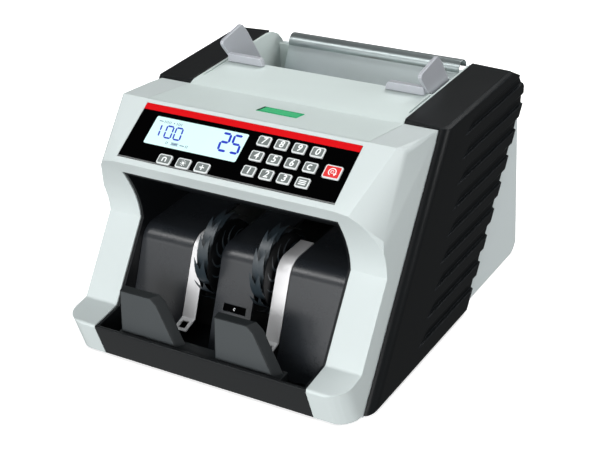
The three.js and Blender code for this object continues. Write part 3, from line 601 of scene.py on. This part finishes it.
def mark(node, name, centre, outline):
    """A printed generic mark on a key, from an outline round the key's middle."""
    x, s, height = centre
    points = [(x + a, s + b) for a, b in outline]
    piece = prism(f"{node}_{name}", points, on_panel, height + 0.01 * MM, height + INK, "key_glyph")
    settle(piece, node, replaces=False)


def bar(a0, a1, b0, b1):
    """A rectangle given in millimetres."""
    return rectangle(a0 * MM, a1 * MM, b0 * MM, b1 * MM)


def arc_band(radius, width, start, end, steps=20):
    """An arc of a ring round the middle, in degrees."""
    turns = [math.radians(start + (end - start) * step / steps) for step in range(steps + 1)]
    outer, inner = ([(reach * MM * math.cos(turn), reach * MM * math.sin(turn)) for turn in turns]
                    for reach in (radius + width / 2, radius - width / 2))
    return outer + inner[::-1]


for numeral in "0123456789":
    key = "key_" + numeral
    glyph(key, key_cap(key), numeral, 8.4 * MM)

mark("key_clear", "ring", key_cap("key_clear"), arc_band(2.0, 1.1, 50, 310))

batch = key_cap("key_batch")
for step in range(3):
    mark("key_batch", f"line_{step}", batch, bar(-3.2, 3.2, -2.1 + 1.6 * step, -1.2 + 1.6 * step))

magnet = key_cap("key_function_1")
mark("key_function_1", "arch", magnet, [(a, b + 0.1 * MM) for a, b in arc_band(1.6, 1.1, 0, 180)])
mark("key_function_1", "leg_left", magnet, bar(-2.15, -1.05, -2.2, 0.05))
mark("key_function_1", "leg_right", magnet, bar(1.05, 2.15, -2.2, 0.05))

lamp = key_cap("key_function_2")
mark("key_function_2", "disc", lamp, circle(0, 0, 1.25 * MM, 24))
for step in range(8):
    turn = math.radians(45 * step)
    along = Vector((math.cos(turn), math.sin(turn)))
    across = Vector((-math.sin(turn), math.cos(turn))) * 0.28
    start, end = along * 1.7, along * 2.7
    ray = [start - across, end - across, end + across, start + across]
    mark("key_function_2", f"ray_{step}", lamp, [(point.x * MM, point.y * MM) for point in ray])

plus = key_cap("key_function_3")
mark("key_function_3", "plus", plus, [(a * MM, b * MM) for a, b in (
    (-0.5, -2.3), (0.5, -2.3), (0.5, -0.5), (2.3, -0.5), (2.3, 0.5), (0.5, 0.5),
    (0.5, 2.3), (-0.5, 2.3), (-0.5, 0.5), (-2.3, 0.5), (-2.3, -0.5), (-0.5, -0.5))])

reset = key_cap("key_reset")
mark("key_reset", "turn", reset, arc_band(3.1, 0.8, -30, 250))
mark("key_reset", "arrow", reset, [(a * MM, b * MM) for a, b in ((1.2, -1.2), (4.4, -1.0), (2.6, -3.4))])
mark("key_reset", "ring", reset, arc_band(1.25, 0.5, 0, 340, 24))


# ---------------------------------------------------------------- badge

low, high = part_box("badge")


def sloped(node):
    """Maps (x, distance up the slope, height) onto a node's sloping top face."""
    points = [v.co for v in NODES[node].data.vertices]
    nearest, farthest = min(p.y for p in points), max(p.y for p in points)
    front = max((p for p in points if p.y < nearest + 0.4 * MM), key=lambda p: p.z)
    back = max((p for p in points if p.y > farthest - 0.4 * MM), key=lambda p: p.z)
    along = Vector((0, back.y - front.y, back.z - front.z)).normalized()
    out = Vector((0, -along.z, along.y))
    length = (Vector((0, back.y, back.z)) - Vector((0, front.y, front.z))).length
    foot = Vector((0, front.y, front.z))
    return (lambda x, s, height: Vector((x, 0, 0)) + foot + along * s + out * height), length


on_badge, badge_length = sloped("badge")
badge_outline = rounded_rectangle(low.x, high.x, 0, badge_length, 1.0 * MM)
settle(prism("badge_plate", badge_outline, on_badge, -0.9 * MM, 0.05 * MM, "badge", 0.3 * MM, segments=3),
       "badge")
# The inlay over most of the face is a lighter copy of the badge enamel: painted highlight.
inner_badge = rounded_rectangle(low.x + 3.0 * MM, high.x - 2.0 * MM, 3.2 * MM, badge_length - 3.2 * MM,
                                1.6 * MM)
settle(prism("badge_inlay", inner_badge, on_badge, 0.06 * MM, 0.3 * MM, "badge_painted_highlight", 0.12 * MM), "badge",
       replaces=False)

# A darker copy of the enamel down the left edge of the recess: painted shade.
badge_painted_shadow = rounded_rectangle(low.x + 0.4 * MM, low.x + 2.6 * MM, 0.6 * MM, badge_length - 0.6 * MM,
                                0.8 * MM)
settle(prism("badge_painted_shadow", badge_painted_shadow, on_badge, 0.06 * MM, 0.25 * MM, "badge_painted_shade", 0.1 * MM), "badge",
       replaces=False)


# ---------------------------------------------------------------- hopper back plate

PLATE_ROLL = 8.2 * MM
PLATE_THICK = 1.2 * MM


def rolled_path():
    """The back plate's face from its foot up to the rolled top, from the CAD plate's own box."""
    low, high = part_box("hopper_back_plate")
    centre_y = high.y - PLATE_ROLL
    centre_z = high.z - PLATE_ROLL
    foot = (low.y + 0.05 * MM, low.z + 0.4 * MM)
    roll = []
    for step in range(37):
        turn = math.radians(190 - 195 * step / 36)
        roll.append((centre_y + PLATE_ROLL * math.cos(turn), centre_z + PLATE_ROLL * math.sin(turn)))
    start = roll[0]
    flat = [tuple(Vector(foot).lerp(Vector(start), step / 12)) for step in range(12)]
    return flat + roll, low.x, high.x


path, plate_left, plate_right = rolled_path()
settle(strip_sheet("back_plate_sheet", path, PLATE_THICK, plate_left, plate_right, "plate", 0.25 * MM, 40),
       "hopper_back_plate")


# ---------------------------------------------------------------- stacker beds and strips

WHEEL = Vector(JOINTS["impeller_spin"]["pos_m"])
BED_SLOPE = 0.456                 # how far the bed goes back for each step up
BED_LEAN = math.atan(BED_SLOPE)
HUMP_RADIUS = 18.2 * MM
for where in ("left", "centre", "right"):
    refined("stacker_bed_" + where, "bed", 30)
for where in ("left", "right"):
    refined("guide_strip_" + where, "strip", 30)


# ---------------------------------------------------------------- fan wheels


# Sizes of the fan wheels; sweep and curl bend a blade back, taper and notch shape its tip.
FAN = {"hub": 15 * MM, "bore": 4.3 * MM, "blades": 12, "sweep": math.radians(84), "curl": 2.0,
       "root": 2.4 * MM, "tip": 0.8 * MM, "notch": 0.1, "taper": 0.22,
       "web": 33 * MM}


def fan_blade(name, turn, reach, x0, x1):
    """A curved blade that thins towards a tip cut to a swallowtail."""
    along_steps, across_steps = 16, 8
    bm = bmesh.new()
    sides = []
    for side in (-1, 1):
        rows = []
        for i in range(along_steps + 1):
            row = []
            width = (x1 - x0) * (1 - FAN["taper"] * (i / along_steps) ** 3)
            for j in range(across_steps + 1):
                across = 2 * j / across_steps - 1
                t = (1 - FAN["notch"] * (1 - abs(across))) * i / along_steps
                radius = FAN["hub"] * 0.97 + (reach - FAN["hub"] * 0.97) * t
                thickness = FAN["root"] + (FAN["tip"] - FAN["root"]) * i / along_steps
                angle = turn - FAN["sweep"] * t ** FAN["curl"] + side * thickness / 2 / radius
                x = (x0 + x1) / 2 + width / 2 * across
                y, z = WHEEL.y + radius * math.cos(angle), WHEEL.z + radius * math.sin(angle)
                row.append(bm.verts.new((x, y, z)))
            rows.append(row)
        sides.append(rows)
    for rows in sides:
        for i in range(along_steps):
            for j in range(across_steps):
                bm.faces.new([rows[i][j], rows[i][j + 1], rows[i + 1][j + 1], rows[i + 1][j]])
    lower, upper = sides
    for j in range(across_steps):
        for i in (0, along_steps):
            bm.faces.new([lower[i][j], lower[i][j + 1], upper[i][j + 1], upper[i][j]])
    for i in range(along_steps):
        for j in (0, across_steps):
            bm.faces.new([lower[i][j], lower[i + 1][j], upper[i + 1][j], upper[i][j]])
    return finish_mesh(name, bm, "fan", 40)


def fan_wheel(node):
    """A moulded wheel: a hub ring with eased rims, curved blades round it and a thin web on each side."""
    low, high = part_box(node)
    reach = (high.z - low.z) / 2
    for index in range(FAN["blades"]):
        turn = 2 * math.pi * index / FAN["blades"]
        settle(fan_blade(f"{node}_blade_{index}", turn, reach, low.x, high.x), node, replaces=False)
    hub, bore, ease = FAN["hub"], FAN["bore"], 0.8 * MM
    profile = [(bore, low.x), (hub - ease, low.x), (hub, low.x + ease), (hub, high.x - ease),
               (hub - ease, high.x), (bore, high.x)]
    settle(lathe(node + "_hub", profile, WHEEL, "fan"), node)
    # The webs are coloured far darker than the blades they are moulded with: painted shade between the blades.
    for side, face, inwards in (("left", low.x, 1), ("right", high.x, -1)):
        outer, inner = face + inwards * 0.2 * MM, face + inwards * 1.0 * MM
        web = [(hub - ease, outer), (FAN["web"] - ease, outer), (FAN["web"], inner), (hub - ease, inner)]
        settle(lathe(f"{node}_web_{side}", web, WHEEL, "fan_web_painted_shade"), node, replaces=False)


fan_wheel("impeller_left")
fan_wheel("impeller_right")


# ---------------------------------------------------------------- sensor window

def on_bed(a, b, height):
    """A point of the leaning stacker bed: a across, b up its face from z = 0, height out of it."""
    bend_z = WHEEL.z + HUMP_RADIUS * math.sin(BED_LEAN)
    foot_y = WHEEL.y - HUMP_RADIUS * math.cos(BED_LEAN) - bend_z * math.tan(BED_LEAN)
    up = Vector((0, math.sin(BED_LEAN), math.cos(BED_LEAN)))
    out = Vector((0, -math.cos(BED_LEAN), math.sin(BED_LEAN)))
    return Vector((a, foot_y, 0)) + up * b + out * height


window = rounded_rectangle(-9.3 * MM, 12.3 * MM, 50.6 * MM, 56.4 * MM, 0.6 * MM)
settle(prism("sensor_window", window, on_bed, -1.6 * MM, -0.5 * MM, "fascia", 0.15 * MM),
       "stacker_bed_centre", replaces=False)
emitter = [(a + 1.5 * MM, b + 53.4 * MM) for a, b in arc_band(0.9, 0.55, 30, 300, 12)]
settle(prism("sensor_emitter", emitter, on_bed, -0.49 * MM, -0.35 * MM, "mark"), "stacker_bed_centre",
       replaces=False)


# ---------------------------------------------------------------- stop fins


def face_plates(node, facing, smallest, margin, thickness, material):
    """Thin plates over a CAD solid's large flat faces that face one way, set in from their edges."""
    bm = bmesh.new()
    bm.from_mesh(NODES[node].data)
    bmesh.ops.remove_doubles(bm, verts=bm.verts, dist=2e-6)
    bmesh.ops.dissolve_limit(bm, angle_limit=math.radians(1), verts=bm.verts, edges=bm.edges)
    chosen = [face for face in bm.faces if face.normal.dot(facing) > 0.96 and face.calc_area() > smallest]
    chosen.sort(key=lambda face: face.calc_center_median().x)
    for index, face in enumerate(chosen):
        normal = face.normal.copy()
        level = Vector((1, 0, 0))
        upright = normal.cross(level).normalized() * -1
        origin = face.verts[0].co.copy()
        outline = [((v.co - origin).dot(level), (v.co - origin).dot(upright)) for v in face.verts]
        plate = prism(f"{node}_plate_{index}", shrunk(outline, margin),
                      lambda a, b, h: origin + level * a + upright * b + normal * h,
                      0.005 * MM, thickness, material, thickness * 0.6)
        settle(plate, node, replaces=False)
    bm.free()


def shrunk(outline, margin):
    """A convex outline with every edge moved in by the margin."""
    points = [Vector(point) for point in outline]
    area = sum(a.x * b.y - b.x * a.y for a, b in zip(points, points[1:] + points[:1]))
    if area < 0:
        points.reverse()
    edges = []
    for a, b in zip(points, points[1:] + points[:1]):
        along = (b - a).normalized()
        edges.append((a + Vector((-along.y, along.x)) * margin, along))
    corners = []
    for (a, u), (b, v) in zip(edges[-1:] + edges[:-1], edges):
        bend = u.x * v.y - u.y * v.x
        gap = b - a
        if abs(bend) > 1e-4:
            corners.append(tuple(a + u * ((gap.x * v.y - gap.y * v.x) / bend)))
        else:
            corners.append(tuple(b))
    return corners


# The stop's body takes a darker copy of its plastic and these plates give its front faces a lighter copy: painted
# light and shade on one plastic.
FIN_FACING = Vector((0, -1, 0.1)).normalized()
face_plates("stacker_stop", FIN_FACING, 600 * MM * MM, 0.7 * MM, 0.35 * MM, "fin_lit_face")


# ---------------------------------------------------------------- drive, chassis and fittings

PLAIN = {
    "display_module": "board", "impeller_shaft": "steel", "impeller_pulley": "pulley", "feed_shaft": "steel",
    "feed_pulley": "pulley", "pickup_shaft": "steel", "motor": "motor", "motor_pulley": "pulley",
    "drive_belt": "black_rubber", "pickup_belt": "black_rubber", "side_plate_left": "galvanised",
    "side_plate_right": "galvanised", "main_board": "board", "base_pan": "pan",
    "foot_front_left": "black_rubber", "foot_front_right": "black_rubber", "foot_rear_left": "black_rubber",
    "foot_rear_right": "black_rubber", "separator_roller": "feed_rubber", "feed_drum": "feed_rubber",
    "pickup_rollers": "feed_rubber", "power_inlet": "fitting", "power_switch": "fitting",
    "gap_screw": "steel",
}
for node, material in PLAIN.items():
    if node == "display_module":
        NODES[node].data.materials.clear()
        NODES[node].data.materials.append(MATERIALS[material])
    else:
        refined(node, material, 30)


# ---------------------------------------------------------------- screws, contacts and marks


def basis(place, across, upright, out):
    """Maps (a, b, height) onto a face with its own directions."""
    return lambda a, b, height: place + across * a + upright * b + out * height


ACROSS = Vector((1, 0, 0))
BEHIND = Vector((0, 1, 0))
UP = Vector((0, 0, 1))


def screw(name, node, place, upright, out, radius=2.6):
    """A pan-head screw with a crossed recess."""
    at = basis(place, ACROSS, upright, out)
    head = prism(name + "_head", circle(0, 0, radius * MM, 28), at, 0.02 * MM, 0.85 * MM, "steel",
                 0.4 * MM, 50, 3)
    settle(head, node, replaces=False)
    arm, half = 0.58 * radius, 0.13 * radius
    cross = [(-half, -arm), (half, -arm), (half, -half), (arm, -half), (arm, half), (half, half),
             (half, arm), (-half, arm), (-half, half), (-arm, half), (-arm, -half), (-half, -half)]
    outline = [(a * MM, b * MM) for a, b in cross]
    settle(prism(name + "_recess", outline, at, 0.86 * MM, 0.9 * MM, "fitting"), node, replaces=False)


shell_low, shell_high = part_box("rear_cover")
for column, x in (("left", shell_low.x + 16 * MM), ("right", shell_high.x - 16 * MM)):
    for row, z in (("low", 26 * MM), ("high", shell_high.z - 16 * MM)):
        place = Vector((x, shell_high.y, z))
        screw(f"rear_screw_{column}_{row}", "rear_cover", place, UP, BEHIND)

pan_low, pan_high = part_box("base_pan")
for column, x in (("left", pan_low.x + 9 * MM), ("right", pan_high.x - 9 * MM)):
    for row, y in (("front", pan_low.y + 40 * MM), ("back", pan_high.y - 9 * MM)):
        place = Vector((x, y, pan_low.z))
        screw(f"base_screw_{column}_{row}", "base_pan", place, BEHIND, -UP, 2.3)

label = basis(Vector((-22 * MM, shell_high.y, 46 * MM)), ACROSS, UP, BEHIND)
settle(prism("rear_blank_plate", rounded_rectangle(-26 * MM, 26 * MM, -16 * MM, 16 * MM, 2 * MM), label,
             0.02 * MM, 0.4 * MM, "trim", 0.12 * MM), "rear_cover", replaces=False)

inlet_low, inlet_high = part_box("power_inlet")
inlet_middle = (inlet_low + inlet_high) / 2
for index, (x, z) in enumerate(((-7, -0.75), (0, 3.75), (7, -0.75))):
    at = basis(Vector((inlet_middle.x + x * MM, inlet_low.y, inlet_middle.z + z * MM)), ACROSS, UP, BEHIND)
    pin = rounded_rectangle(-1.2 * MM, 1.2 * MM, -2.0 * MM, 2.0 * MM, 0.5 * MM)
    settle(prism(f"inlet_contact_{index}", pin, at, 5.5 * MM, 16.4 * MM, "brass", 0.35 * MM), "power_inlet",
           replaces=False)


def rocker_faces():
    """The two faces of the rocker, lower one first: the middle and the outward direction of each."""
    bm = bmesh.new()
    bm.from_mesh(NODES["power_switch"].data)
    bmesh.ops.remove_doubles(bm, verts=bm.verts, dist=2e-6)
    bmesh.ops.dissolve_limit(bm, angle_limit=math.radians(1), verts=bm.verts, edges=bm.edges)
    faces = [(face.calc_center_median(), face.normal.copy()) for face in bm.faces if face.normal.y > 0.9]
    bm.free()
    return sorted(faces, key=lambda face: face[0].z)


for (middle, out), name, outline in zip(
    rocker_faces(), ("on_mark", "off_mark"), (bar(-0.4, 0.4, -2.1, 2.1), arc_band(1.9, 0.7, 0, 345, 28)),
):
    at = basis(middle, ACROSS, ACROSS.cross(out) * -1, out)
    settle(prism("rocker_" + name, outline, at, 0.01 * MM, 0.06 * MM, "mark"), "power_switch", replaces=False)


def grooved_roller(node, reach, land, centre):
    """Fine rings round the rubber bands of a roller, between its outer end and its middle land."""
    low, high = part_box(node)
    radius = (high.z - low.z) / 2
    for side in (-1, 1):
        for index in range(9):
            x = side * (land + (reach - land) * (index + 0.5) / 9) * MM
            profile = [(radius - 0.6 * MM, x - 0.9 * MM), (radius + 0.12 * MM, x - 0.6 * MM),
                       (radius + 0.12 * MM, x + 0.6 * MM), (radius - 0.6 * MM, x + 0.9 * MM)]
            name = f"{node}_band_{(side + 1) // 2}_{index}"
            settle(lathe(name, profile, centre, "feed_rubber", 48), node, replaces=False)


grooved_roller("feed_drum", 43, 15, Vector(JOINTS["feed_spin"]["pos_m"]))


# ---------------------------------------------------------------- stage, light and camera


def stage_floor():
    half = 4.0
    mesh = bpy.data.meshes.new("floor")
    corners = [(x, y, 0) for x, y in rectangle(-half, half, -half, half)]
    mesh.from_pydata(corners, [], [(0, 1, 2, 3)])
    nodes = Nodes("floor_paper")
    grain = nodes.noise(nodes.millimetres(), 2.5, 3)
    paper = nodes.mix(grain, (0.90, 0.90, 0.90), (0.93, 0.93, 0.93))
    nodes.set(nodes.shader, "Base Color", paper)
    nodes.set(nodes.shader, "Emission Color", paper)
    nodes.shader.inputs["Emission Strength"].default_value = 0.6
    nodes.shader.inputs["Roughness"].default_value = 0.9
    nodes.shader.inputs["Specular IOR Level"].default_value = 0.1
    mesh.materials.append(nodes.material)
    floor = bpy.data.objects.new("floor", mesh)
    bpy.context.scene.collection.objects.link(floor)
    floor.visible_diffuse = False
    floor.visible_glossy = False


def softbox(name, place, target, size, power):
    light = bpy.data.lights.new(name, "AREA")
    light.shape = "RECTANGLE"
    light.size, light.size_y = size
    light.energy = power
    lamp = bpy.data.objects.new(name, light)
    lamp.location = place
    lamp.rotation_euler = (Vector(target) - Vector(place)).to_track_quat("-Z", "Y").to_euler()
    bpy.context.scene.collection.objects.link(lamp)


VIEW = {"azimuth": 33.024, "elevation": 28.593, "roll": -3.873}
VIEW_FROM = Vector((587.479, -900.978, 660.472)) * MM
LENS = 84.42


def camera():
    azimuth, elevation, roll = (math.radians(VIEW[angle]) for angle in ("azimuth", "elevation", "roll"))
    level_reach = math.cos(elevation)
    back = Vector((math.sin(azimuth) * level_reach, -math.cos(azimuth) * level_reach, math.sin(elevation)))
    level = Vector((math.cos(azimuth), math.sin(azimuth), 0))
    upright = back.cross(level)
    right = math.cos(roll) * level + math.sin(roll) * upright
    up = -math.sin(roll) * level + math.cos(roll) * upright
    turn = Matrix((right, up, back)).transposed().to_4x4()
    lens = bpy.data.cameras.new("camera")
    lens.sensor_width = 36
    lens.lens = LENS
    lens.clip_end = 20
    shot = bpy.data.objects.new("camera", lens)
    shot.matrix_world = Matrix.Translation(VIEW_FROM) @ turn
    bpy.context.scene.collection.objects.link(shot)
    bpy.context.scene.camera = shot


def compass(azimuth, elevation, distance):
    """A place round the machine: azimuth from straight in front towards the right, in degrees."""
    turn, lift = math.radians(azimuth), math.radians(elevation)
    level = distance * math.cos(lift)
    return level * math.sin(turn), -level * math.cos(turn), 0.1 + distance * math.sin(lift)


MIDDLE = (0, 0, 0.1)
stage_floor()
softbox("front_softbox", compass(8, 12, 2.3), MIDDLE, (1.6, 1.0), 50)
softbox("top_softbox", compass(20, 60, 2.0), MIDDLE, (1.0, 0.8), 6)
softbox("back_top_softbox", compass(170, 55, 2.0), MIDDLE, (1.0, 0.8), 25)
softbox("right_softbox", compass(108, 16, 2.0), MIDDLE, (0.9, 0.8), 17)
softbox("left_low_strip", compass(-31, 15, 2.2), MIDDLE, (1.3, 0.4), 2.4)
softbox("left_high_strip", compass(-42, 47, 2.0), MIDDLE, (0.9, 0.3), 5)
softbox("back_strip", compass(-147, 28, 2.0), MIDDLE, (0.8, 0.22), 0.3)
camera()


def studio():
    """A dim room, brightest ahead of the machine and below the table's edge, as over a pale floor."""
    world = bpy.data.worlds.new("studio")
    world.use_nodes = True
    tree = world.node_tree
    direction = tree.nodes.new("ShaderNodeTexCoord")
    parts = tree.nodes.new("ShaderNodeSeparateXYZ")
    tree.links.new(direction.outputs["Generated"], parts.inputs["Vector"])
    ramps = []
    for axis, limits in (("Z", (-0.2, 0.3, 0.42, 0.26)), ("Y", (-0.6, 0.8, 1.0, 0.25))):
        ramp = tree.nodes.new("ShaderNodeMapRange")
        for key, value in zip(("From Min", "From Max", "To Min", "To Max"), limits):
            ramp.inputs[key].default_value = value
        tree.links.new(parts.outputs[axis], ramp.inputs["Value"])
        ramps.append(ramp.outputs["Result"])
    product = tree.nodes.new("ShaderNodeMath")
    product.operation = "MULTIPLY"
    for socket, ramp in zip(product.inputs, ramps):
        tree.links.new(ramp, socket)
    background = tree.nodes["Background"]
    tree.links.new(product.outputs["Value"], background.inputs["Strength"])
    background.inputs["Color"].default_value = (0.98, 1, 1, 1)
    return world


world = studio()
bpy.context.scene.world = world
bpy.context.scene.view_settings.view_transform = "Standard"
